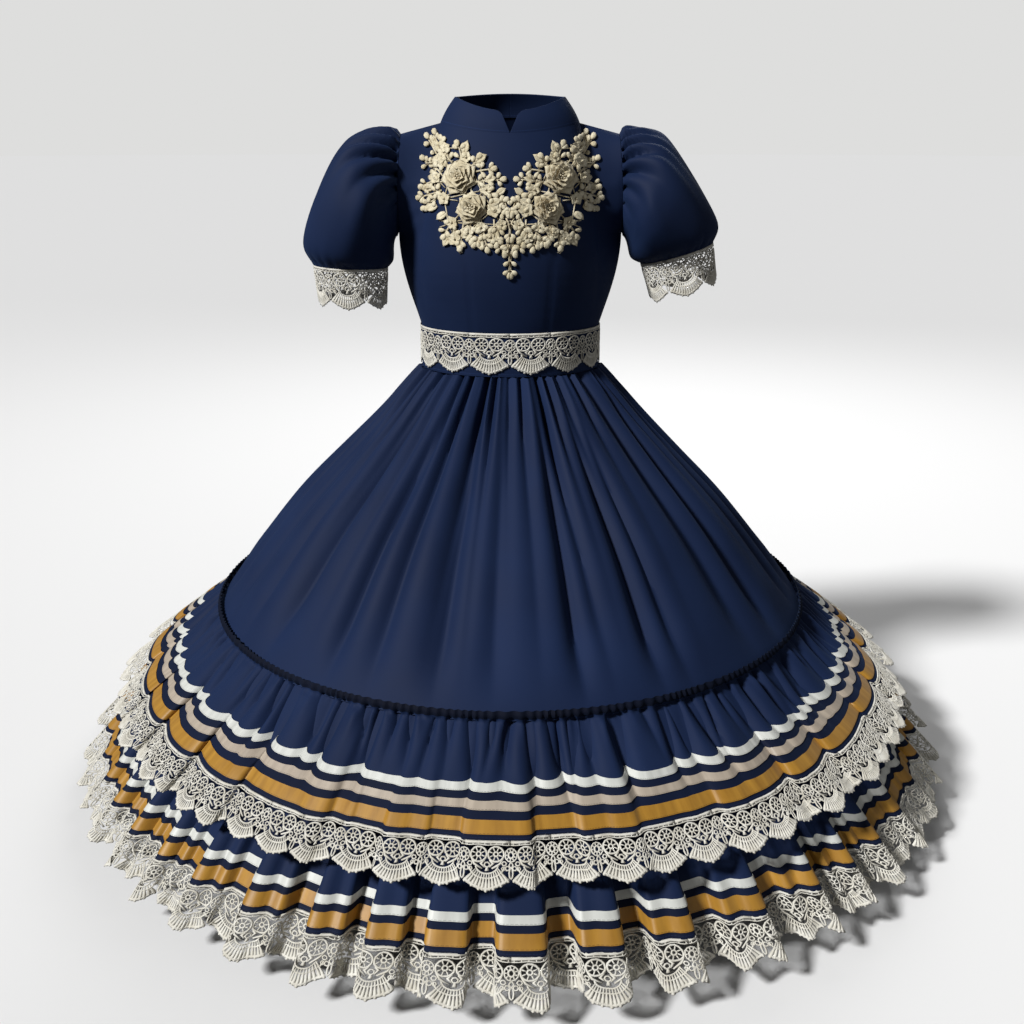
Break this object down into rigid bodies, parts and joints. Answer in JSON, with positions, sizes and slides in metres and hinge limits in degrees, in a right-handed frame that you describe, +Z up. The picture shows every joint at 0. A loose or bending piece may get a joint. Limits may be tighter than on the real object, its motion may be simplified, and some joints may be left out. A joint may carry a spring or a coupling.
{
  "type": "escaramuza dress",
  "caption": "Worn riding dress: fitted bodice with stand collar and puff sleeves, gathered skirt, two ribboned flounces edged with lace.",
  "frame": {"origin": "middle of the waist, on the seam between waistband and skirt, where the wearer carries the dress", "axes": "+Z up along the body, front towards -Y, the wearer's left towards +X"},
  "size_m": [1.5293, 1.5309, 1.088],
  "materials": {
    "navy_cloth": "navy satin-backed cotton",
    "cream_lace": "cream guipure",
    "white_ribbon": "satin",
    "beige_ribbon": "satin",
    "gold_ribbon": "satin"
  },
  "bodies": {
    "root": {"bodice_front": "navy_cloth", "bodice_back_right": "navy_cloth", "bodice_back_left": "navy_cloth", "collar_right": "navy_cloth", "collar_left": "navy_cloth", "sleeve_right": "navy_cloth", "sleeve_left": "navy_cloth", "waistband_front": "navy_cloth", "waistband_back_right": "navy_cloth", "waistband_back_left": "navy_cloth", "skirt_front": "navy_cloth", "skirt_back": "navy_cloth", "upper_flounce_front": "navy_cloth", "upper_flounce_back": "navy_cloth", "lower_flounce_front": "navy_cloth", "lower_flounce_back": "navy_cloth", "applique_right": "cream_lace", "applique_left": "cream_lace", "sleeve_lace_right_front": "cream_lace", "sleeve_lace_right_back": "cream_lace", "sleeve_lace_left_front": "cream_lace", "sleeve_lace_left_back": "cream_lace", "waist_lace_front": "cream_lace", "waist_lace_back_right": "cream_lace", "waist_lace_back_left": "cream_lace", "upper_lace_front": "cream_lace", "upper_lace_back": "cream_lace", "lower_lace_front": "cream_lace", "lower_lace_back": "cream_lace", "upper_ribbon_white": "white_ribbon", "lower_ribbon_white": "white_ribbon", "upper_ribbon_beige": "beige_ribbon", "upper_ribbon_gold": "gold_ribbon", "lower_ribbon_gold": "gold_ribbon"}
  },
  "joints": []
}
